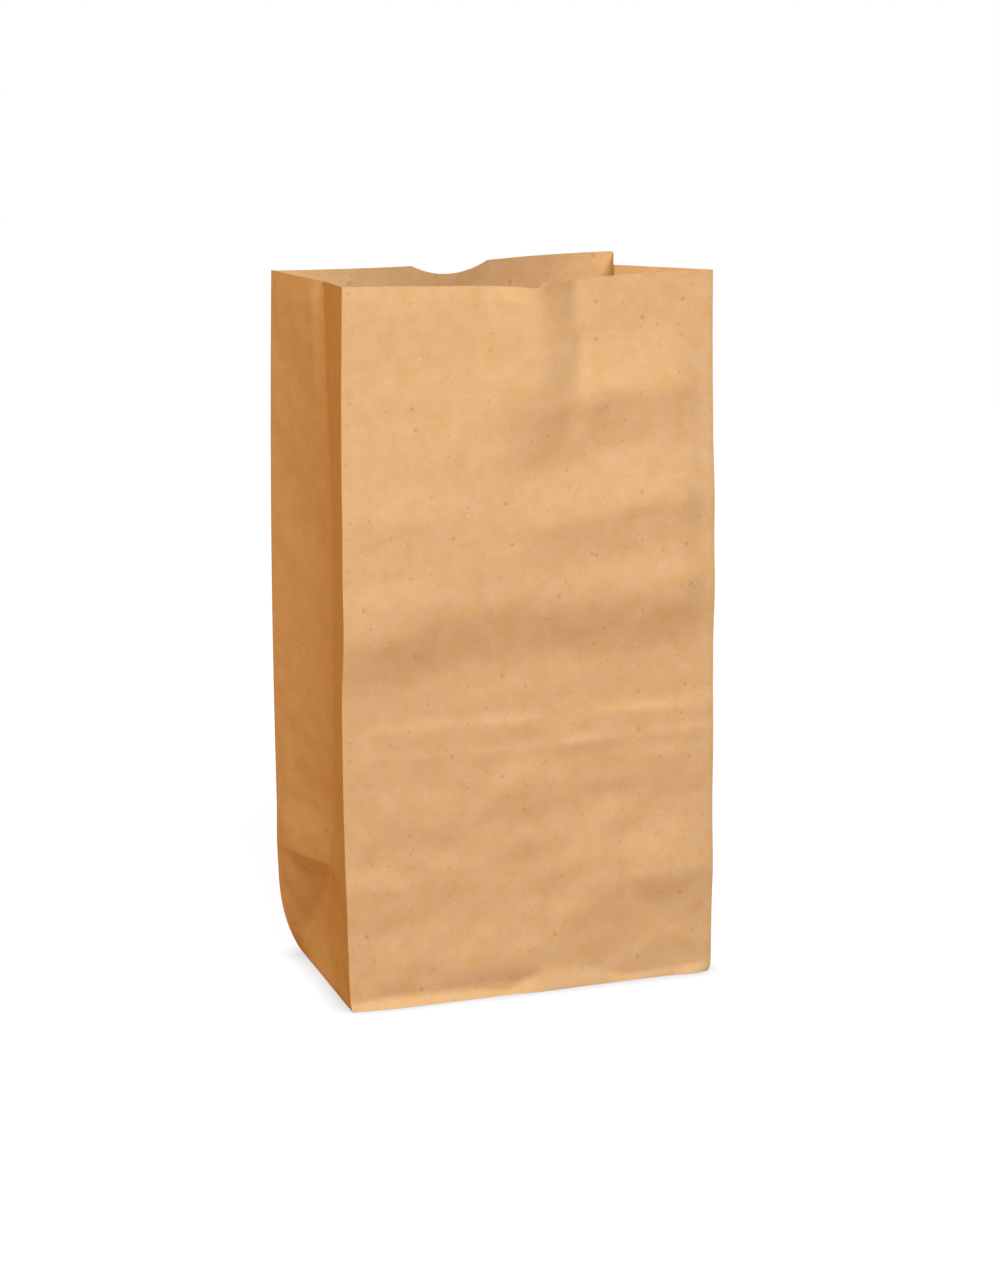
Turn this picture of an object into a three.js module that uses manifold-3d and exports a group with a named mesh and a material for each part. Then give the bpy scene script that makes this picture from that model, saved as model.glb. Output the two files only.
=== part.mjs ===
// A brown paper lunch bag, standing open: one sheet of kraft paper folded into a gusseted tube,
// lapped and glued up the back, with its lower end folded into a flat base of two glued flaps.
// Millimetres, +Z up. The origin is the middle of the base, and the front panel faces -Y.
import * as THREE from "three";
import { mergeVertices } from "three/addons/utils/BufferGeometryUtils.js";
import Module from "manifold-3d";

// The sheet and the tube
const PANEL_WIDTH = 155; // front and back panels, fold to fold
const GUSSET_WIDTH = 92.1; // each side panel, laid flat, fold to fold
const BAG_HEIGHT = 281; // table to mouth
const PLY = 0.1; // thickness of the paper
const FOLD_RADIUS = 0.8; // outside radius of the four upright folds
const SEAM_EDGE = 12; // how far the lap seam's outer edge lies from the middle of the back panel
const SEAM_LAP = 14; // width of the two plies glued together in the seam

// How far the middle crease of each gusset is tucked in, at the mouth and at the foot of the crease
const LEFT_TUCK = { mouth: 7.5, foot: 10 };
const RIGHT_TUCK = { mouth: 22, foot: 10 };

// The base, which is not pressed fully square: its back corners are drawn in and rounded
const BASE_BEND = 3.5; // radius of the soft bend from the walls into the base
const TOE_RADIUS = 5; // front corners of the base, seen from above
const HEEL_RADIUS = 14; // back corners of the base, seen from above
const HEEL_TAPER = 9; // how far each back corner is drawn in sideways
const HEEL_SETBACK = 4; // how far the back edge of the base is drawn forward
const FLAP_LAP = 16; // how far the two base flaps lie over each other

// The thumb notch in the middle of the back panel's top edge
const NOTCH_WIDTH = 36.5;
const NOTCH_DEPTH = 4.2;

// Fineness of the round stretches
const CORNER_STEPS = 4; // facets in each rounded corner
const BEND_STEPS = 4; // facets in the bend around the base
const NOTCH_SIDES = 96; // facets in the whole circle of the notch

const KRAFT = new THREE.MeshStandardMaterial({ color: "#dcac7a", roughness: 0.82, metalness: 0 });

// Stored flat, the base is folded up against the back panel. The crease of that fold is half a gusset up.
const CREASE_HEIGHT = GUSSET_WIDTH / 2;
const BASE_FLOOR = 2 * PLY; // the base's main ply lies on the two flaps
const CUT_MARGIN = 10; // how far a cutting solid reaches past what it cuts

const wasm = await Module();
wasm.setup();

// A closed three.js geometry as a solid that can be joined and cut.
function solid(geometry) {
  const bare = geometry.clone();
  bare.deleteAttribute("normal");
  bare.deleteAttribute("uv");
  const merged = mergeVertices(bare, 1e-4);
  return new wasm.Manifold(
    new wasm.Mesh({
      numProp: 3,
      vertProperties: new Float32Array(merged.attributes.position.array),
      triVerts: new Uint32Array(merged.index.array),
    }),
  );
}

// A solid back as a three.js geometry.
function geometryOf(made) {
  const { vertProperties, triVerts } = made.getMesh();
  const geometry = new THREE.BufferGeometry();
  geometry.setAttribute("position", new THREE.BufferAttribute(vertProperties, 3));
  geometry.setIndex(new THREE.BufferAttribute(triVerts, 1));
  geometry.computeVertexNormals();
  return geometry;
}

// Half the distance from front to back where a gusset of fixed width is tucked in.
const halfDepth = (tuck) => Math.sqrt((GUSSET_WIDTH / 2) ** 2 - tuck ** 2);

// The corners of the tube seen from above, counter-clockwise from the front left, on the outer or the
// inner side of the paper. Each has its place and its rounding. Where the back panel is lapped, the outer
// side steps out by one ply at the seam's outer edge, and the inner side at the seam's inner edge.
function section({ tucks, taper, setback, toeRadius, heelRadius }, inner) {
  const half = PANEL_WIDTH / 2;
  const heel = half - taper;
  const [left, right] = tucks.map((tuck) => ({
    tuck,
    front: -halfDepth(tuck),
    back: halfDepth(tuck) - setback,
  }));
  const crease = (side, { tuck, front, back }) =>
    new THREE.Vector2(side * ((half + heel) / 2 - tuck), (front + back) / 2);
  const backRight = new THREE.Vector2(heel, right.back);
  const backLeft = new THREE.Vector2(-heel, left.back);
  const onBack = (x) => backRight.clone().lerp(backLeft, (heel - x) / (2 * heel));
  const lapped = (point) => point.clone().add(new THREE.Vector2(0, PLY));
  const outerEdge = onBack(SEAM_EDGE);
  const innerEdge = onBack(SEAM_EDGE - SEAM_LAP);
  const step = inner ? [innerEdge, lapped(innerEdge)] : [lapped(outerEdge), lapped(innerEdge)];
  return [
    { at: new THREE.Vector2(-half, left.front), radius: toeRadius },
    { at: new THREE.Vector2(half, right.front), radius: toeRadius },
    { at: crease(1, right), crease: true },
    { at: backRight, radius: heelRadius },
    { at: outerEdge },
    ...step.map((at) => ({ at })),
    { at: lapped(backLeft), radius: heelRadius },
    { at: crease(-1, left), crease: true },
  ];
}

const leftOf = (direction) => new THREE.Vector2(-direction.y, direction.x);

// The section's outline as points, with its rounded corners as arcs.
function outline(corners) {
  return corners.flatMap(({ at, radius, crease }, i) => {
    if (!radius) return [{ at, crease }];
    const before = corners[(i + corners.length - 1) % corners.length].at;
    const after = corners[(i + 1) % corners.length].at;
    const arriving = at.clone().sub(before).normalize();
    const leaving = after.clone().sub(at).normalize();
    const turn = Math.acos(arriving.dot(leaving));
    const start = at.clone().addScaledVector(arriving, -radius * Math.tan(turn / 2));
    const centre = start.clone().addScaledVector(leftOf(arriving), radius);
    return Array.from({ length: CORNER_STEPS + 1 }, (_, step) => ({
      at: start.clone().rotateAround(centre, (turn * step) / CORNER_STEPS),
    }));
  });
}

// An outline moved inwards by a distance, all round.
function inset(points, distance) {
  return points.map(({ at, crease }, i) => {
    const before = points[(i + points.length - 1) % points.length].at;
    const after = points[(i + 1) % points.length].at;
    const first = leftOf(at.clone().sub(before).normalize());
    const second = leftOf(after.clone().sub(at).normalize());
    const mitre = first.clone().add(second).multiplyScalar(distance / (1 + first.dot(second)));
    return { at: at.clone().add(mitre), crease };
  });
}

// A closed solid through outlines at rising heights. Each face beside a gusset's crease is split along
// the line to the upper end of the crease, as the paper folds there.
function loft(levels) {
  const count = levels[0].points.length;
  const places = levels.flatMap(({ points, height }) => points.flatMap(({ at }) => [at.x, at.y, height]));
  const faces = [];
  levels.slice(1).forEach((_, level) => {
    levels[level].points.forEach(({ crease }, i) => {
      const next = (i + 1) % count;
      const [a, b, c, d] = [i, next, next + count, i + count].map((index) => index + level * count);
      faces.push(...(crease ? [a, b, d, b, c, d] : [a, b, c, a, c, d]));
    });
  });
  const cap = ({ points }) => THREE.ShapeUtils.triangulateShape(points.map(({ at }) => at), []);
  const top = (levels.length - 1) * count;
  cap(levels[0]).forEach(([a, b, c]) => faces.push(a, c, b));
  cap(levels.at(-1)).forEach(([a, b, c]) => faces.push(a + top, b + top, c + top));
  const geometry = new THREE.BufferGeometry();
  geometry.setAttribute("position", new THREE.Float32BufferAttribute(places, 3));
  geometry.setIndex(faces);
  return solid(geometry);
}

const mouth = {
  tucks: [LEFT_TUCK.mouth, RIGHT_TUCK.mouth],
  taper: 0,
  setback: 0,
  toeRadius: FOLD_RADIUS,
  heelRadius: FOLD_RADIUS,
};
const creaseLine = { ...mouth, tucks: [LEFT_TUCK.foot, RIGHT_TUCK.foot] };
const base = {
  tucks: [0, 0],
  taper: HEEL_TAPER,
  setback: HEEL_SETBACK + GUSSET_WIDTH / 2 - halfDepth(LEFT_TUCK.foot),
  toeRadius: TOE_RADIUS,
  heelRadius: HEEL_RADIUS,
};

// The outline at a station, on the outer or the inner side of the paper.
function face(station, inner) {
  const points = outline(section(station, inner));
  return inner ? inset(points, PLY) : points;
}

// The tube's outer or inner face: the bend around the base, then the crease line, then the mouth.
function tube(inner, topHeight) {
  const bend = inner ? BASE_BEND - PLY : BASE_BEND;
  const floor = inner ? BASE_FLOOR + PLY : BASE_FLOOR;
  const foot = face(base, inner);
  const levels = Array.from({ length: BEND_STEPS + 1 }, (_, step) => {
    const angle = (Math.PI / 2) * (step / BEND_STEPS);
    const height = floor + bend * (1 - Math.cos(angle));
    return { points: inset(foot, bend * (1 - Math.sin(angle))), height };
  });
  levels.push({ points: face(creaseLine, inner), height: CREASE_HEIGHT });
  levels.push({ points: face(mouth, inner), height: BAG_HEIGHT });
  if (topHeight > BAG_HEIGHT) levels.push({ points: face(mouth, inner), height: topHeight });
  return loft(levels);
}

// One of the two trapezoid flaps that close the base, between two heights. Its sides run in at 45 degrees
// from the corners, where the ends of the tube are folded under it.
function baseFlap(foldLine, towards, low, high) {
  const half = PANEL_WIDTH / 2;
  const reach = (baseDepth + FLAP_LAP) / 2;
  const free = foldLine + towards * reach;
  const corners = [
    [-half, foldLine],
    [half, foldLine],
    [half - reach, free],
    [reach - half, free],
  ].map(([x, y]) => new THREE.Vector2(x, y));
  const prism = new THREE.ExtrudeGeometry(new THREE.Shape(corners), {
    depth: high - low,
    bevelEnabled: false,
  });
  prism.translate(0, 0, low);
  return solid(prism).intersect(footprint);
}

// The flat of the base, inside its bend
const flatBase = inset(face(base, false), BASE_BEND).map(({ at }) => at);
const footprint = solid(
  new THREE.ExtrudeGeometry(new THREE.Shape(flatBase), { depth: CREASE_HEIGHT, bevelEnabled: false }),
);
const baseFront = -GUSSET_WIDTH / 2;
const baseBack = GUSSET_WIDTH / 2 - base.setback;
const baseDepth = baseBack - baseFront;

// The notch is the low part of a circle that stands on the back panel's top edge
function thumbNotch() {
  const radius = ((NOTCH_WIDTH / 2) ** 2 + NOTCH_DEPTH ** 2) / (2 * NOTCH_DEPTH);
  const cutter = new THREE.CylinderGeometry(radius, radius, GUSSET_WIDTH / 2, NOTCH_SIDES);
  cutter.translate(0, GUSSET_WIDTH / 2, BAG_HEIGHT - NOTCH_DEPTH + radius);
  return solid(cutter);
}

function paperBag() {
  const wall = tube(false, BAG_HEIGHT).subtract(tube(true, BAG_HEIGHT + CUT_MARGIN));
  const plyMiddle = BASE_FLOOR + PLY / 2;
  return wall
    .subtract(thumbNotch())
    .add(baseFlap(baseFront, 1, 0, plyMiddle))
    .add(baseFlap(baseBack, -1, PLY, plyMiddle));
}

const bag = new THREE.Mesh(geometryOf(paperBag()), KRAFT);
bag.name = "paper_bag";

const part = new THREE.Group();
part.add(bag);
export default part;
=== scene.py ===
import math

import bpy
import numpy as np
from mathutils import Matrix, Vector, noise


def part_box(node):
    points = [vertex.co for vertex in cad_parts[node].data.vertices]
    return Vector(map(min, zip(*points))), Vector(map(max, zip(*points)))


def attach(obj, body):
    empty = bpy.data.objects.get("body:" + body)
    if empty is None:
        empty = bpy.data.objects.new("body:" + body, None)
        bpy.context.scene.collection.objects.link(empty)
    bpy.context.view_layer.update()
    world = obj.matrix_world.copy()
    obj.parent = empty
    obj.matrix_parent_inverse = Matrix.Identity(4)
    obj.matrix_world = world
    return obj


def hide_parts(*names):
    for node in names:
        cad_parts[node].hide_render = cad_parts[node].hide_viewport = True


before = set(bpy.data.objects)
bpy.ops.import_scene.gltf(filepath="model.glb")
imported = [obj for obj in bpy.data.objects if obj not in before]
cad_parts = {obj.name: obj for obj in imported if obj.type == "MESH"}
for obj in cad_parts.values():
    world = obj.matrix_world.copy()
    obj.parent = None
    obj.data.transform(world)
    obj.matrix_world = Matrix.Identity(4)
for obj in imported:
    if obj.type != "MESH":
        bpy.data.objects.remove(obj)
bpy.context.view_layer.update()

# The sheet is one piece of brown kraft paper, about 57 grams to the square metre, cut from a roll. Its
# squares follow the folds that the bag machine presses into it, with a narrow strip on either side of
# each fold that turns the corner. Flat sizes and places on the sheet are in millimetres.
MM = 0.001
bag_low, bag_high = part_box("paper_bag")
panel = (bag_high.x - bag_low.x) / MM
height = bag_high.z / MM
gusset = 92.1
half_panel = panel / 2
half_gusset = gusset / 2
strip = 0.8
panel_squares = 69
outer_back_squares = 40
inner_back_squares = 36
gusset_squares = 17
fine_squares = 7
flap_squares = 23
panel_square = (panel - 2 * strip) / panel_squares
fine_square = 1.0
gusset_square = (half_gusset - 2 * strip - fine_squares * fine_square) / gusset_squares

# Across the sheet: the two ends of the back panel, which lap in the seam, are its outer edges.
outer_back = [panel_square] * outer_back_squares + [strip]
side_half = [strip] + [fine_square] * fine_squares + [gusset_square] * gusset_squares + [strip]
side = side_half + side_half[::-1]
front = [strip] + [panel_square] * panel_squares + [strip]
inner_back = [strip] + [panel_square] * inner_back_squares
across = np.cumsum([0] + outer_back + side + front + side + inner_back)

# Up the sheet: the base flaps lie below zero, and rows follow the two creases pressed across the front.
flap_rows = [panel_square] * flap_squares + [strip]
flap = sum(flap_rows)
lower_crease, upper_crease = 99, 109.5
score = 1.5
upper_stops = [half_gusset + strip]
for line in (lower_crease, upper_crease):
    upper_stops += [line - score, line, line + score, line + 2 * score]
upper_stops.append(height)
upper_rows = [strip]
for lower, upper in zip(upper_stops, upper_stops[1:]):
    parts = max(1, round((upper - lower) / gusset_square))
    upper_rows += [(upper - lower) / parts] * parts
up = np.cumsum([-flap] + flap_rows + side_half + upper_rows)

back_left = sum(outer_back)
left_crease = back_left + half_gusset
front_left = left_crease + half_gusset
front_right = front_left + panel
right_crease = front_right + half_gusset
back_right = right_crease + half_gusset
folds = np.array([back_left, left_crease, front_left, front_right, right_crease, back_right])

columns = len(across) - 1
rows = len(up) - 1
grid_half = 0.5
bpy.ops.object.select_all(action="DESELECT")
bpy.ops.mesh.primitive_grid_add(
    x_subdivisions=columns,
    y_subdivisions=rows,
    size=2 * grid_half,
    calc_uvs=True,
)
bag = bpy.context.active_object
bag.name = "lunch_bag"
bag.data.name = "lunch_bag"
count = len(bag.data.vertices)
places = np.empty(count * 3)
bag.data.vertices.foreach_get("co", places)
share_across, share_up, _ = places.reshape(-1, 3).T + grid_half
flat_u = across[np.rint(share_across * columns).astype(int)]
flat_v = up[np.rint(share_up * rows).astype(int)]


def through(points, at):
    """A smooth curve through a few points, read at the given places."""
    xs, ys = np.array(points, float).T
    slopes = np.gradient(ys, xs)
    at = np.clip(at, xs[0], xs[-1])
    i = np.clip(np.searchsorted(xs, at) - 1, 0, len(xs) - 2)
    step = xs[i + 1] - xs[i]
    t = (at - xs[i]) / step
    start = ys[i] * (1 + 2 * t) * (1 - t) ** 2 + ys[i + 1] * t * t * (3 - 2 * t)
    return start + step * t * (1 - t) * (slopes[i] * (1 - t) - slopes[i + 1] * t)


def ease(low, high, at):
    """From 0 at low to 1 at high, starting and ending gently."""
    t = np.clip((np.asarray(at, float) - low) / (high - low), 0, 1)
    return t * t * (3 - 2 * t)


# Two creases that handling has pressed across the front, as heights along x from the panel's middle. The
# rows of squares that follow them, and less and less those beside, are moved to them before the folding.
front_x = flat_u - front_left - half_panel
on_front = np.abs(front_x) <= half_panel
creases = {
    lower_crease: [(-78, 98), (-36, 97.6), (3, 97.6), (20, 98.6), (50, 99.4), (78, 100)],
    upper_crease: [(-78, 109), (-60, 108.8), (-32, 109), (3, 108.6), (29, 109.4), (78, 109)],
}
moved_reach = 7.2
moved_fade = 6
shift = np.zeros(count)
for line, points in creases.items():
    near = np.clip((moved_reach - np.abs(flat_v - line)) / moved_fade, 0, 1)
    shift += on_front * near * (through(points, front_x) - line)
flat_v += shift

loop_vertices = np.empty(len(bag.data.loops), int)
bag.data.loops.foreach_get("vertex_index", loop_vertices)
sheet_width = across[-1]
sheet_length = up[-1] + flap
unwrapped = np.stack([flat_u / sheet_width, (flat_v + flap) / sheet_length], 1)
bag.data.uv_layers[0].name = "flat_sheet"
bag.data.uv_layers[0].data.foreach_set("uv", unwrapped[loop_vertices].ravel())

# The slanting folds cut across squares, so those squares are split along them: from each lower corner
# of a side up to the foot of its middle crease, and across the corners of the flaps.
on_line = 0.1
slant = np.zeros(count, bool)
for fold, towards in ((back_left, 1), (front_left, -1), (front_right, 1), (back_right, -1)):
    inside = (flat_u - fold) * towards
    on_side = (flat_v >= 0) & (inside <= half_gusset + on_line)
    on_flap = (flat_v <= 0) & (inside >= -flap - on_line)
    slant |= (np.abs(inside - flat_v) < on_line) & (on_side | on_flap)
bag.data.vertices.foreach_set("select", slant)
bpy.ops.object.mode_set(mode="EDIT")
bpy.ops.mesh.select_mode(type="VERT")
bpy.ops.mesh.vert_connect()
bpy.ops.object.mode_set(mode="OBJECT")

# Folding: the tube stands open with its sides tucked in a little along their creases. Its lower end
# is folded flat, ends first, then the back and front flaps over them, and glued. The corners lean and
# bulge as the standing bag's do, and the back corners of the base are drawn in.
toe_reach = 90
heel_forward = 4.5


def drawn_in(z):
    """How much of a back corner's drawing in is left, from 1 at the table to 0 at the base's crease."""
    steepness = 3.2
    return np.clip(1 - z / half_gusset, 0, 1) ** steepness


def bulge(z):
    """From 0 at the table to 1 halfway up and 0 at the mouth."""
    return np.sin(np.pi * np.clip(z / height, 0, 1))


def toe(z, reach):
    """From 1 at the table to 0 at its reach."""
    return np.clip(1 - z / reach, 0, 1) ** 2


def above_base(z):
    """From 0 at the base's crease to 1 at the mouth."""
    return np.clip((z - half_gusset) / (height - half_gusset), 0, 1)


def corner_front_left(z):
    foot_x, foot_y = -77.0, -46.8
    bowed, lean_back, kick = 1.9, 1.3, 2.2
    x = foot_x - bowed * bulge(z)
    y = foot_y + lean_back * z / height - kick * toe(z, toe_reach)
    return np.stack([x, y, z], -1)


def corner_front_right(z):
    foot_x, foot_y = 77.7, -45.4
    lean_out, bowed, lean_back, kick = 2.2, 0.8, 8.6, 1.2
    rounded, rounding_height = 1.6, 5
    raised, raised_from = 1.0, 120
    x = foot_x + lean_out * z / height + bowed * bulge(z) - rounded * toe(z, rounding_height)
    y = foot_y + lean_back * ease(0, height, z) - kick * toe(z, toe_reach)
    return np.stack([x, y, z + raised * ease(raised_from, height, z)], -1)


def corner_back_left(z):
    foot_x, foot_y = -76.2, 45
    bowed, heel_in = 1.3, 8.4
    lowered, lowered_from = 0.8, 200
    x = foot_x - bowed * np.sin(np.pi * above_base(z)) + heel_in * drawn_in(z)
    y = foot_y - heel_forward * drawn_in(z)
    return np.stack([x, y, z - lowered * ease(lowered_from, height, z)], -1)


def corner_back_right(z):
    foot_x, foot_y = 76.5, 45
    lean_in, lean_back, heel_in, raised = 4.2, 1.0, 9.5, 1.7
    leaning = ease(half_gusset, height, z)
    x = foot_x - lean_in * leaning - heel_in * drawn_in(z)
    y = foot_y + lean_back * leaning - heel_forward * drawn_in(z)
    return np.stack([x, y, z + raised * z / height], -1)


def crease_left(z):
    foot_x = -66.3
    opened, opened_from = 3.7, 165
    forward, forward_from = 3.4, 100
    lowered, lowered_from = 1.4, 180
    x = foot_x - opened * ease(opened_from, height, z)
    y = -forward * ease(forward_from, height, z)
    return np.stack([x, y, z - lowered * ease(lowered_from, height, z)], -1)


def crease_right(z):
    foot_x = 66.5
    tucked, backward, raised = 12.3, 3.6, 0.5
    share = above_base(z)
    return np.stack([foot_x - tucked * share, backward * share, z + raised * share], -1)


def on_base(x, y, level):
    """A place on the base, x from its left end and y from its front edge, at a height above the table."""
    table = np.zeros(1)
    depth = (y / gusset)[:, None]
    left = corner_front_left(table) + (corner_back_left(table) - corner_front_left(table)) * depth
    right = corner_front_right(table) + (corner_back_right(table) - corner_front_right(table)) * depth
    made = left + (right - left) * (x / panel)[:, None]
    made[:, 2] = level
    return made


# The plies of the base lie one on another, with a hair's breadth between them. The front flap is lowest.
ply = 0.1
lowest_level, level_step = 0.06, 0.12
base_plies = ("front", "outer_back", "inner_back", "tuck", "end")
levels = {name: lowest_level + level_step * i for i, name in enumerate(base_plies)}


def folded(u, v):
    """Where a place on the flat sheet lies on the bag, with sharp folds."""
    made = np.zeros((len(u), 3))
    down = -v

    def panel_part(mine, along, first, second, level, from_front):
        """A front or back panel and its flap, with its distance along from its left-hand corner."""
        share = (along / panel)[:, None]
        standing = mine & (v >= 0)
        a, b = first(v[standing]), second(v[standing])
        made[standing] = a + (b - a) * share[standing]
        under = mine & (v < 0)
        d, s = down[under], along[under]
        x = np.where(s < d, d, np.where(panel - s < d, panel - d, s))
        y = np.where(s < d, s, np.where(panel - s < d, panel - s, d))
        tucked = (s < d) | (panel - s < d)
        z = np.where(tucked, levels["tuck"], level)
        made[under] = on_base(x, y if from_front else gusset - y, z)

    def side_part(mine, t, corner, crease, from_front, is_left):
        """Half of a gusset, t going from 0 at its outer fold to 1 at its crease."""
        w = v / half_gusset
        upper = mine & (w >= 1)
        a, b = corner(v[upper]), crease(v[upper])
        made[upper] = a + (b - a) * t[upper][:, None]
        table, crease_height = np.zeros(1), np.array([half_gusset])
        foot, knee, apex = corner(table), corner(crease_height), crease(crease_height)
        middle = on_base(np.array([0 if is_left else panel]), np.array([half_gusset]), 0)
        lower = mine & (w >= 0) & (w < 1)
        tl, wl, vl = t[lower][:, None], w[lower][:, None], v[lower]
        curve = corner(vl) - (foot + (knee - foot) * wl)
        outer = foot + (knee - foot) * wl + (apex - knee) * tl
        inner = foot + (apex - foot) * wl + (middle - foot) * (tl - wl)
        made[lower] = np.where(tl < wl, outer, inner) + curve * ease(1, 0, tl)
        under = mine & (w < 0)
        d, y = down[under], t[under] * half_gusset
        z = np.full(len(d), levels["end"])
        made[under] = on_base(d if is_left else panel - d, y if from_front else gusset - y, z)

    part = np.searchsorted(folds, u)
    back = (corner_back_left, corner_back_right)
    panel_part(part == 0, back_left - u, *back, levels["outer_back"], False)
    side_part(part == 1, (u - back_left) / half_gusset, corner_back_left, crease_left, False, True)
    side_part(part == 2, (front_left - u) / half_gusset, corner_front_left, crease_left, True, True)
    panel_part(part == 3, u - front_left, corner_front_left, corner_front_right, levels["front"], True)
    side_part(part == 4, (u - front_right) / half_gusset, corner_front_right, crease_right, True, False)
    side_part(part == 5, (back_right - u) / half_gusset, corner_back_right, crease_right, False, False)
    panel_part(part == 6, panel - (u - back_right), *back, levels["inner_back"], False)
    return made


# Each place is the average of nine around it, which rounds the folds. The bend into the base is softer.
base_bend = 1.2
rounding = np.where(np.abs(flat_v) < 2 * base_bend, base_bend, strip)
steps = ((-1, 0.25), (0, 0.5), (1, 0.25))
shape = np.zeros((count, 3))
for step_u, weight_u in steps:
    for step_v, weight_v in steps:
        shape += weight_u * weight_v * folded(flat_u + step_u * strip, flat_v + step_v * rounding)

# The front panel and the marks of handling on it. It bows out to a soft kink at the mouth, and has the
# shallow ridges, dents and creases of paper that was packed flat and opened by hand. All are given as
# millimetres outwards, along x from the panel's middle and z up the sheet.
wall = np.clip(flat_v, 0, None)
below_mouth = height - flat_v
panel_x = np.clip(front_x, -half_panel, half_panel)
past_edge = np.abs(front_x) - half_panel


def ridge(line, rise, below, above, crisp=False, fades=(14, 14)):
    """A ridge across the front along a line of (x, z) points, with its reach below and above the line.
    A crisp ridge is steepest right under its crest, and a soft one halfway down. It fades at its ends."""
    crispness = 1.5
    beyond = flat_v - through(line, panel_x)
    start, end = line[0][0], line[-1][0]
    ends = ease(start, start + fades[0], panel_x) * ease(end, end - fades[1], panel_x)
    rising = np.clip(1 + beyond / below, 0, 1)
    rising = rising**crispness if crisp else ease(0, 1, rising)
    return rise * ends * rising * ease(above, 0, beyond)


def swelling(low, low_full, high_full, high, at):
    """From 0 at low to 1 between the two full places and back to 0 at high."""
    return ease(low, low_full, at) * ease(high, high_full, at)


# The broad band at the waist, with the light places over it, and the two shorter bands above. A line that
# runs on over a fold ends past it.
past = 95
waist = [(-past, 146), (-70, 149), (-40, 155), (0, 158), (30, 158), (past, 160)]
dents = ridge(waist, rise=4.1, below=28, above=110)
dents += ridge([(-past, 150), (-70, 152), (-36, 158)], rise=0.9, below=60, above=16, fades=(1, 14))
dents += ridge([(8, 159), (30, 159), (past, 160)], rise=0.9, below=60, above=13, fades=(14, 24))
chest = [(-14, 184), (25, 188), (45, 191), (past, 191)]
dents += ridge(chest, rise=1.9, below=18, above=26, crisp=True, fades=(25, 1))
dents += ridge([(-past, 186), (-60, 190), (-22, 188)], rise=0.5, below=15, above=20)
shoulder = [(12, 231), (24, 233), (50, 235), (78, 235)]
dents += ridge(shoulder, rise=2.1, below=20, above=26, crisp=True, fades=(10, 20))
dents += ridge([(16, 234), (26, 236), (74, 235)], rise=0.5, below=30, above=12, fades=(6, 22))
kink_foot = [(-6, 228), (14, 229), (34, 230)]
dents += ridge(kink_foot, rise=1.0, below=18, above=50, crisp=True, fades=(12, 10))

# The small dents of the lower half, and the swelling among them
lower_right = [(38, 41), (55, 42), (past, 41)]
dents += ridge(lower_right, rise=2.5, below=19, above=26, crisp=True, fades=(10, 1))
dents += ridge([(8, 30), (26, 32), (46, 30)], rise=1.4, below=22, above=40, crisp=True, fades=(10, 12))
dents += ridge([(-past, 46), (-72, 46), (-40, 43)], rise=1.1, below=20, above=11, fades=(1, 24))
dents += ridge([(-70, 76), (-50, 77), (-24, 74)], rise=0.8, below=17, above=14)
dents += ridge([(-22, 85), (0, 85), (18, 83)], rise=0.85, below=18, above=12)
dents += ridge([(18, 90), (45, 91), (past, 91)], rise=0.65, below=16, above=6)
dents += ridge([(-70, 20), (-20, 18), (12, 15)], rise=0.65, below=14, above=16)
dents += ridge([(-74, 9.5), (-30, 9), (14, 10)], rise=0.5, below=5.5, above=14)
dents += ridge([(40, 97.5), (60, 98.5), (past, 99)], rise=0.42, below=5, above=20, crisp=True, fades=(6, 1))
dents += ridge([(6, 97), (20, 98), (37, 97)], rise=0.3, below=5, above=20, crisp=True, fades=(6, 6))
swollen = 0.9
dents += swollen * swelling(18, 30, 30, 48, panel_x) * swelling(28, 40, 62, 78, flat_v)

# How deep each of the two pressed creases is along the panel, as a share of the crease's height
crease_strength = {
    lower_crease: [
        (-78, 0.2), (-50, 0.8), (-30, 0.6), (-14, 0.9), (0, 0.9), (8, 0.6), (14, 1.6), (25, 1.6), (34, 0.6),
        (50, 0.7), (58, 1.1), (78, 1.2),
    ],
    upper_crease: [
        (-78, 0.2), (-62, 0.5), (-56, 1), (-36, 1), (-31, 0.5), (-24, 1), (2, 1), (7, 0.15), (20, 0.15),
        (27, 1), (78, 1),
    ],
}
crease_rise = 0.46
crease_above = 2.6 * score
for line, points in creases.items():
    pressed_line = ridge(points, rise=1, below=30, above=crease_above, crisp=True, fades=(1, 1))
    dents += crease_rise * through(crease_strength[line], panel_x) * pressed_line

# The bow, which grows towards the mouth, and the kink in it: a soft upright band that turns back. The edge
# has a small nick over the band, and is rolled in a little on its left.
bow_from = 90
bow = through([(-78, 0), (-40, 1.7), (-5, 3.0), (20, 2.3), (60, 0.4), (78, 0)], panel_x)
dents += bow * ease(bow_from, height, flat_v)
band_left = through([(0, 2), (205, 2), (222, 1), (235, -1), (250, 0), (275, 1), (height, 2)], flat_v)
band_right = through(
    [(0, 60), (195, 55), (206, 40), (214, 26), (222, 20), (235, 19), (250, 19), (275, 17), (height, 17)],
    flat_v,
)
kink_rise, kink_flank, kink_crispness = 6.2, 24, 1.4
kink_from, kink_full = 200, 242
across_band = np.clip((panel_x - band_left) / (band_right - band_left), 0, 1)
kink = ease(-kink_flank, 0, panel_x - band_left) * (1 - across_band**kink_crispness)
dents += kink_rise * kink * ease(kink_from, kink_full, flat_v)
nick_rise, nick_from = 0.8, 276
dents += nick_rise * swelling(-3, 1, 2, 6, panel_x) * ease(nick_from, height, flat_v)
roll_in, roll_from, roll_start = 0.35, 275, -12
dents -= roll_in * ease(0, roll_start, panel_x) * ease(roll_from, height, flat_v)

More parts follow.
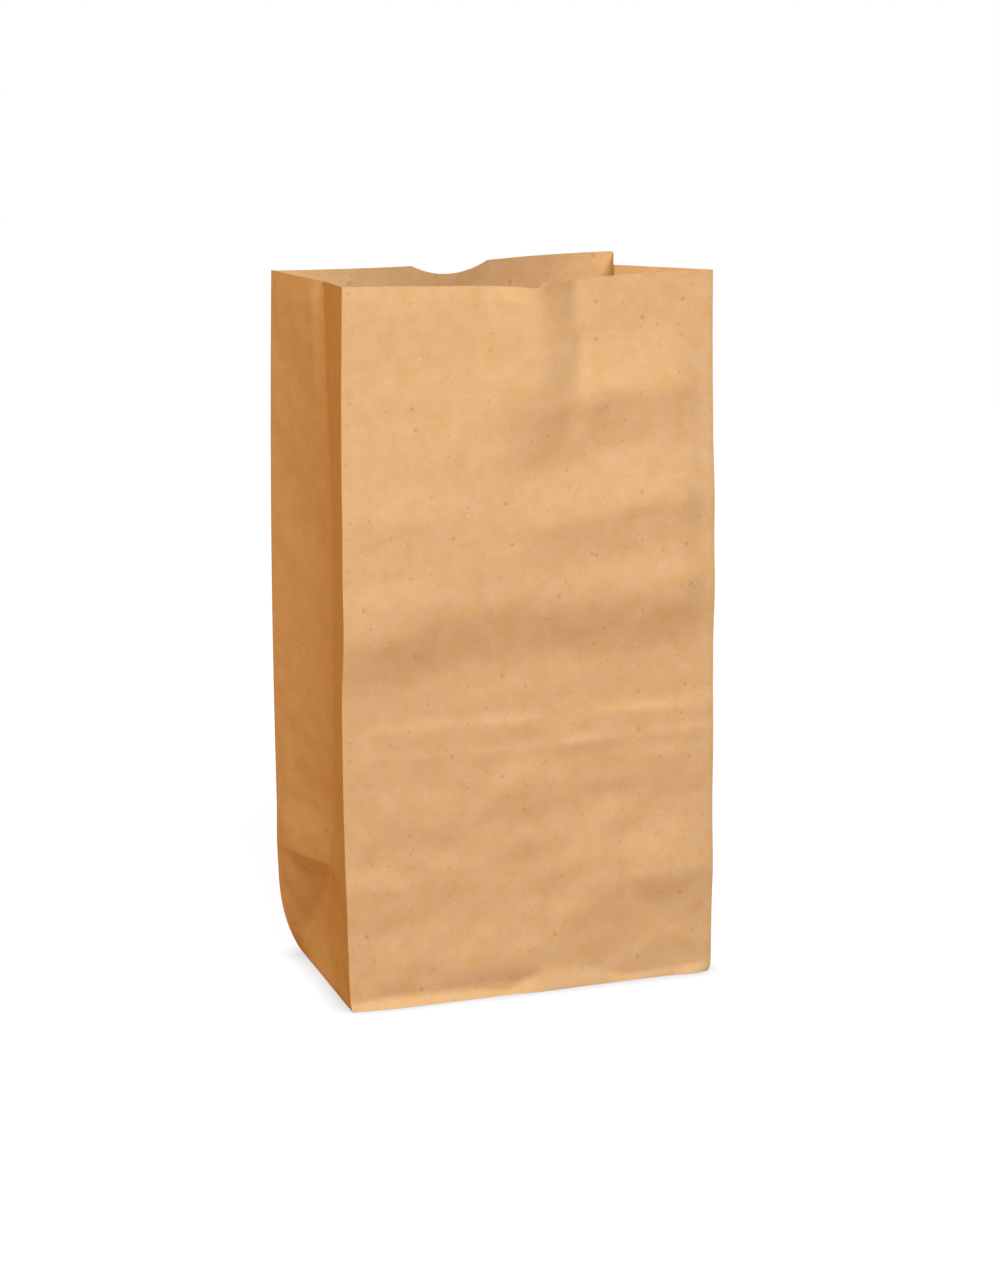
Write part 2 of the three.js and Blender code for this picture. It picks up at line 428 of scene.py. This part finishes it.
# The lip where the front turns under at the table: how far it stands out, and how high it reaches
lip = through(
    [(-78, 1.6), (-57, 3.3), (-37, 2.8), (-20, 2.4), (-13, 2.0), (-9, 2.2), (-4, 2.8), (20, 2.2),
     (45, 1.4), (60, 1.2), (70, 2.2), (78, 0.4)],
    panel_x,
)
lip_height = through(
    [(-78, 3.4), (-50, 3.1), (-20, 2.4), (-13, 1.4), (-9, 1.4), (-4, 5.2), (45, 2.5), (60, 3.5), (78, 4)],
    panel_x,
)
lip *= np.clip(1 - np.abs(flat_v) / lip_height, 0, 1)

# The folds hold the panel's edges, so the dents are shallower there, and the sides follow them a little.
dent_reach, lip_reach, stiff_edge, dents_from = 30, 12, 18, 8
held_left, held_right = 0.35, 0.6
held = np.where(front_x < 0, held_left, held_right)
follow = ease(dent_reach, 0, past_edge) * (1 - held * ease(-stiff_edge, 0, past_edge))
outwards = follow * dents * ease(0, dents_from, wall) + ease(lip_reach, 0, past_edge) * lip
shape[:, 1] -= np.where(past_edge < half_gusset, outwards, 0)

# How far the front's edge dips below the mouth's height
edge_dip = [
    (-78, 0), (-58, 0.5), (-38, 1.2), (-14, 2.1), (-6, 2.7), (-3, 3.1), (-1, 3.0), (1, 0.7), (4, 1.3),
    (15, 1.2), (28, 0.5), (44, 0), (78, 0),
]
dip_depth = 22
shape[:, 2] -= np.where(on_front, through(edge_dip, panel_x) * ease(dip_depth, 0, below_mouth), 0)

# The back panel waves in and then out towards the mouth, and bellies out below it. A thumb notch is cut
# in its edge, and its two ends lap in the glued seam, one ply over the other.
from_back_left = np.where(flat_u <= back_left, back_left - flat_u, panel - (flat_u - back_right))
on_back = (flat_u <= back_left) | (flat_u >= back_right)
back_x = from_back_left - half_panel
wave = through(
    [(-78, 0), (-58, -5.2), (-38, -7), (-18, -4.6), (2, 0.5), (20, 4.4), (40, 4.5), (60, 2.3), (78, 0)],
    back_x,
)
shape[:, 1] += np.where(on_back, wave * ease(half_gusset, height, flat_v), 0)
curl = through([(-78, 0), (-50, 3.8), (0, 5.6), (50, 5.9), (78, 0)], back_x)
belly = through([(0, 0), (100, 0), (200, 0.7), (235, 0.95), (262, 0.85), (height, 0)], flat_v)
shape[:, 1] += np.where(on_back, curl * belly, 0)
back_edge = [(-78, -0.3), (-40, -0.6), (-18, -1.0), (20, -1.0), (40, -0.2), (60, 0.3), (78, 0.5)]
edge_from = 120
shape[:, 2] += np.where(on_back, through(back_edge, back_x) * ease(edge_from, height, flat_v), 0)

notch_half, notch_depth, notch_centre, notch_reach = 18.7, 4.2, 2.2, 24
notch_radius = (notch_half**2 + notch_depth**2) / (2 * notch_depth)
notch_x = back_x - notch_centre
arc = np.sqrt(np.clip(notch_radius**2 - notch_x**2, 0, None)) - (notch_radius - notch_depth)
shape[:, 2] -= np.where(on_back, np.clip(arc, 0, None) * ease(notch_reach, 0, below_mouth), 0)

lap_lift, lifted_from = 0.14, 16
edge_curl, edge_curl_width = 0.25, 4
lapped = (flat_u <= back_left) & (flat_v >= 0)
outer_share = np.clip((back_left - flat_u) / (back_left - lifted_from), 0, 1)
lift = lap_lift * outer_share + edge_curl * ease(edge_curl_width, 0, flat_u)
shape[:, 1] += np.where(lapped, lift, 0)

# The left side stands out in a soft step beside its middle crease towards the mouth. The crease that the
# folded base left across it stands proud, with a hollow under it.
step_out, step_place = 1.3, 0.84
step_from, step_full = 165, 262
along_half = (flat_u - back_left) / half_gusset
soft_step = np.minimum(along_half / step_place, (1 - along_half) / (1 - step_place))
shape[:, 0] -= step_out * np.clip(soft_step, 0, 1) * ease(step_from, step_full, flat_v)

on_left = (flat_u > back_left) & (flat_u < front_left)
on_right = (flat_u > front_right) & (flat_u < back_right)
from_crease = flat_v - half_gusset
crest_rise, crest_reach = 2.0, 22
under_points = [(0, 0), (6, -1.3), (13, -2.0), (24, -1.3), (36, 0.4), (half_gusset, crest_rise)]
under_crease = through(under_points, flat_v)
over_crease = crest_rise * ease(crest_reach, 0, from_crease)
pressed = np.where(from_crease > 0, over_crease, under_crease * (flat_v > 0))
along_left = (flat_u - back_left) / gusset
crest_window = [(0, 0.2), (0.15, 0.9), (0.5, 1), (0.8, 0.6), (1, 0)]
hollow_window = [(0, 0.2), (0.15, 0.9), (0.4, 1), (0.6, 0.4), (0.8, -0.6), (1, 0)]
crest = np.clip(pressed, 0, None) * through(crest_window, along_left)
hollow = np.clip(pressed, None, 0) * through(hollow_window, along_left)
shape[:, 0] -= np.where(on_left, crest + hollow, 0)

# A slight cockle all over, as thin paper has: broad and fine waves, which fade at the folds and the table
# and are stronger in the lower half.
broad_wave, broad_size, broad_seed = 0.7, (34, 26), 3
fine_wave, fine_size, fine_seed = 0.55, (13, 11), 8
upper_share, lower_top, upper_bottom = 0.55, 70, 120
cockle_from_fold, cockle_from_table = 8, 12
outward = np.zeros((count, 3))
outward[on_back, 1] = 1
outward[on_front, 1] = -1
outward[on_left, 0] = -1
outward[on_right, 0] = 1
around = np.where(on_back, back_left - from_back_left, flat_u)
cockle = np.array([
    broad_wave * noise.noise((u / broad_size[0], v / broad_size[1], broad_seed))
    + fine_wave * noise.noise((u / fine_size[0], v / fine_size[1], fine_seed))
    for u, v in zip(around, flat_v)
])
from_fold = np.abs(flat_u[:, None] - folds).min(1)
cockle *= upper_share + (1 - upper_share) * ease(upper_bottom, lower_top, flat_v)
cockle *= ease(0, cockle_from_fold, from_fold) * ease(0, cockle_from_table, wall)
shape += outward * cockle[:, None]

bag.data.vertices.foreach_set("co", (shape * MM).ravel())
bag.data.update()

# The sheet gets the paper's thickness, half to either side, and is shaded smooth round its soft folds.
smooth_up_to = math.radians(60)
bag.select_set(True)
bpy.context.view_layer.objects.active = bag
thickness = bag.modifiers.new("thickness", "SOLIDIFY")
thickness.thickness = ply * MM
thickness.offset = 0
bpy.ops.object.modifier_apply(modifier=thickness.name)
bpy.ops.object.shade_smooth_by_angle(angle=smooth_up_to)


# The paper: unbleached softwood kraft, machine finished. The pulp gives a warm brown with a cloudy
# formation, scattered dark specks of bark and a few pale fibres, and a dry surface with little shine.
# Sizes of its patterns are millimetres on the flat sheet.
def linear(colour):
    """The linear colour of an sRGB hex value."""
    parts = [int(colour[i:i + 2], 16) / 255 for i in (1, 3, 5)]
    return tuple(p / 12.92 if p <= 0.04045 else ((p + 0.055) / 1.055) ** 2.4 for p in parts) + (1,)


def node(tree, kind, settings=None, **links):
    """Adds a node with its settings, and fills or links its inputs, by name or as _ and a number."""
    made = tree.nodes.new(kind)
    for name, value in (settings or {}).items():
        setattr(made, name, value)
    for name, value in links.items():
        socket = made.inputs[int(name[1:])] if name[0] == "_" else made.inputs[name.replace("_", " ")]
        if isinstance(value, bpy.types.NodeSocket):
            tree.links.new(value, socket)
        else:
            socket.default_value = value
    return made


kraft = bpy.data.materials.new("kraft_paper")
kraft.use_nodes = True
kraft.node_tree.nodes.clear()
tree = kraft.node_tree
mixed = {"data_type": "RGBA"}
cloud_size, ragged_size, ragged_reach = 7, 0.9, 1.6
fibre_density = (1.6, 0.7, 1)
sheet_map = node(tree, "ShaderNodeUVMap", {"uv_map": "flat_sheet"}).outputs[0]
flat_size = (sheet_width, sheet_length, 1)
on_sheet = node(tree, "ShaderNodeMapping", Vector=sheet_map, Scale=flat_size).outputs[0]
cloud = node(
    tree, "ShaderNodeTexNoise", Vector=on_sheet, Scale=1 / cloud_size, Detail=5.0, Roughness=0.6
).outputs[0]
fibre_map = node(tree, "ShaderNodeMapping", Vector=on_sheet, Scale=fibre_density).outputs[0]
fibre = node(
    tree, "ShaderNodeTexNoise", Vector=fibre_map, Scale=1.0, Detail=3.0, Roughness=0.7
).outputs[0]
formation = node(tree, "ShaderNodeMapRange", Value=cloud, From_Min=0.3, From_Max=0.7).outputs[0]
thick_pulp, thin_pulp = linear("#d8ab6f"), linear("#dfb387")
cloudy = node(tree, "ShaderNodeMix", mixed, _0=formation, _6=thick_pulp, _7=thin_pulp).outputs[2]
fibrous = node(
    tree, "ShaderNodeMapRange", Value=fibre, From_Min=0.3, From_Max=0.7, To_Min=0.94, To_Max=1.06
).outputs[0]
multiplied = {"data_type": "RGBA", "blend_type": "MULTIPLY"}
paper = node(tree, "ShaderNodeMix", multiplied, _0=1.0, _6=cloudy, _7=fibrous).outputs[2]

# The specks: each cell of a pattern holds one, and only a share of the cells shows it.
ragged = node(tree, "ShaderNodeTexNoise", Vector=on_sheet, Scale=1 / ragged_size, Detail=2.0).outputs[1]
astray = node(
    tree, "ShaderNodeVectorMath", {"operation": "MULTIPLY_ADD"},
    _0=ragged, _1=(ragged_reach, ragged_reach, 0), _2=on_sheet,
).outputs[0]
speck_strength, speck_core, speck_rim = 0.4, 0.4, 1.2
for colour, spacing, size, share, seed in (
    ("#bb8a54", 8, 0.7, 0.2, 0),
    ("#ac7c48", 19, 1.0, 0.3, 40),
    ("#efcfa4", 23, 0.6, 0.2, 90),
):
    speck_map = node(tree, "ShaderNodeMapping", Vector=astray, Location=(seed, seed, 0)).outputs[0]
    cell = node(
        tree, "ShaderNodeTexVoronoi", {"voronoi_dimensions": "2D"}, Vector=speck_map, Scale=1 / spacing
    )
    pick = node(tree, "ShaderNodeSeparateColor", Color=cell.outputs["Color"]).outputs[0]
    chosen = node(tree, "ShaderNodeMath", {"operation": "LESS_THAN"}, _0=pick, _1=share).outputs[0]
    edge = node(
        tree, "ShaderNodeMapRange", {"interpolation_type": "SMOOTHSTEP"}, Value=cell.outputs["Distance"],
        From_Min=speck_core * size / spacing, From_Max=speck_rim * size / spacing,
        To_Min=speck_strength, To_Max=0.0,
    ).outputs[0]
    speck = node(tree, "ShaderNodeMath", {"operation": "MULTIPLY"}, _0=chosen, _1=edge).outputs[0]
    paper = node(tree, "ShaderNodeMix", mixed, _0=speck, _6=paper, _7=linear(colour)).outputs[2]

rough = node(tree, "ShaderNodeMapRange", Value=cloud, To_Min=0.74, To_Max=0.88).outputs[0]
tooth_height = 0.06
tooth = node(
    tree, "ShaderNodeBump", Height=fibre, Strength=0.25, Distance=tooth_height * MM
).outputs[0]
skin = node(
    tree, "ShaderNodeBsdfPrincipled",
    Base_Color=paper, Roughness=rough, Normal=tooth, IOR=1.5, Specular_IOR_Level=0.05,
)
node(tree, "ShaderNodeOutputMaterial", Surface=skin.outputs[0])
bag.data.materials.append(kraft)

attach(bag, "root")
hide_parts("paper_bag")

# The table top under the bag: a plain flat sweep, white to the eye. Close to the bag an ambient occlusion
# node dims its white glow, which is a painted soft contact shadow, and its lit grey part keeps the lamps'
# own shadows. Other rays meet a dull warm brown, so that the light that it throws up on the bag is low and
# warm.
floor_size = 3
bpy.ops.object.select_all(action="DESELECT")
bpy.ops.mesh.primitive_plane_add(size=floor_size)
floor = bpy.context.active_object
floor.name = "floor"


def seen_directly(tree):
    """Whether a ray comes from the eye, straight or by a mirror or through glass, as 1 or 0."""
    path = node(tree, "ShaderNodeLightPath")
    seen = path.outputs["Is Camera Ray"]
    for other in ("Is Glossy Ray", "Is Transmission Ray"):
        seen = node(
            tree, "ShaderNodeMath", {"operation": "MAXIMUM"}, _0=seen, _1=path.outputs[other]
        ).outputs[0]
    return seen


sweep = bpy.data.materials.new("white_sweep")
sweep.use_nodes = True
sweep.node_tree.nodes.clear()
tree = sweep.node_tree
shadow_reach = 11
dull = node(tree, "ShaderNodeBsdfDiffuse", Color=linear("#8a5029"))
white = node(tree, "ShaderNodeBsdfDiffuse", Color=linear("#626262"))
# Ambient occlusion dims the floor's glow near the bag: a painted contact shadow.
nearby = node(
    tree, "ShaderNodeAmbientOcclusion", {"samples": 8}, Distance=shadow_reach * MM
).outputs["AO"]
glow_with_painted_shadow = node(
    tree, "ShaderNodeMapRange", Value=nearby, From_Min=0.45, To_Min=0.62, To_Max=0.93
).outputs[0]
glow = node(tree, "ShaderNodeEmission", Strength=glow_with_painted_shadow)
lit_white = node(tree, "ShaderNodeAddShader", _0=white.outputs[0], _1=glow.outputs[0])
either = node(
    tree, "ShaderNodeMixShader", _0=seen_directly(tree), _1=dull.outputs[0], _2=lit_white.outputs[0]
)
node(tree, "ShaderNodeOutputMaterial", Surface=either.outputs[0])
floor.data.materials.append(sweep)

# The studio: a white surround that gives little light of its own, a wide soft key lamp in front, a little
# to the left and above, a warm fill on the left, and a low lamp behind for the back and the right side.
scene = bpy.context.scene
scene.view_settings.view_transform = "Standard"
studio = bpy.data.worlds.new("studio")
scene.world = studio
studio.use_nodes = True
studio.node_tree.nodes.clear()
tree = studio.node_tree
level = node(tree, "ShaderNodeMapRange", Value=seen_directly(tree), To_Min=0.05, To_Max=1.0).outputs[0]
surround = node(tree, "ShaderNodeBackground", Color=(1, 1, 1, 1), Strength=level)
node(tree, "ShaderNodeOutputWorld", Surface=surround.outputs[0])


def direction(azimuth, elevation):
    """The way to a place around the bag, in degrees from the front towards the right and upwards."""
    a, e = math.radians(azimuth), math.radians(elevation)
    return Vector((math.sin(a) * math.cos(e), -math.cos(a) * math.cos(e), math.sin(e)))


bag_middle = Vector((0, 0, 0.14))
lamp_size = 1.0
for name, azimuth, elevation, distance, power, colour in (
    ("key", -10, 42, 2.2, 62, "#f5fbff"),
    ("warm_fill", -106, 24, 2.0, 16.4, "#ffcf54"),
    ("back_fill", 140, 9, 2.2, 38, "#fff6ea"),
):
    towards_lamp = direction(azimuth, elevation)
    lamp = bpy.data.lights.new(name, "AREA")
    lamp.size = lamp_size
    lamp.energy = power
    lamp.color = linear(colour)[:3]
    stand = bpy.data.objects.new(name, lamp)
    stand.location = bag_middle + towards_lamp * distance
    stand.rotation_euler = towards_lamp.to_track_quat("Z", "Y").to_euler()
    scene.collection.objects.link(stand)

# The camera stands at the height of a seated viewer, to the left of the front, with a long lens.
camera_azimuth, camera_elevation, camera_distance = -21.257, 10.784, 1.4447
camera_target = Vector((0.004228, 0, 0.134178))
focal_pixels, frame_height = 3595.97, 1273
towards_camera = direction(camera_azimuth, camera_elevation)
eye = bpy.data.objects.new("camera", bpy.data.cameras.new("camera"))
eye.location = camera_target + towards_camera * camera_distance
eye.rotation_euler = towards_camera.to_track_quat("Z", "Y").to_euler()
eye.data.sensor_width = 36
eye.data.lens = focal_pixels * eye.data.sensor_width / frame_height
scene.collection.objects.link(eye)
scene.camera = eye
